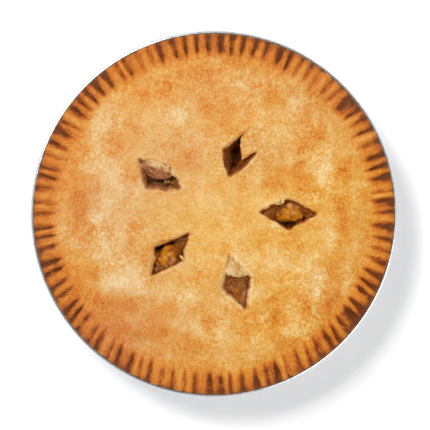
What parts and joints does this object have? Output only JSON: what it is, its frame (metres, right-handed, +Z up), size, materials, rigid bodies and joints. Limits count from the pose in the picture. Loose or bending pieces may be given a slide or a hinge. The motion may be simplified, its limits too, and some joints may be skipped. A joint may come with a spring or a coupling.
{
  "type": "double crust apple pie",
  "caption": "Whole round double crust pie in a shallow foil tin, with a low domed lid, a fork-crimped rim and diamond vents that show the apple filling.",
  "frame": {"origin": "centre of the tin's base, on the surface that it stands on", "axes": "+Z up; +Y is the top of the picture, seen from above"},
  "size_m": [0.206, 0.206, 0.0423],
  "materials": {
    "golden_crust": "baked pastry, golden yellow with pale and orange-brown mottling, dark brown in the crimps; matte",
    "baked_shell": "baked pastry edge, tan to brown; matte",
    "apple_filling": "cooked apple in brown spiced gel; wet and glossy",
    "foil": "thin bright aluminium foil, lightly wrinkled"
  },
  "bodies": {
    "root": {"top_crust": "golden_crust", "bottom_crust": "baked_shell", "apple_filling": "apple_filling", "foil_tin": "foil"}
  },
  "joints": []
}
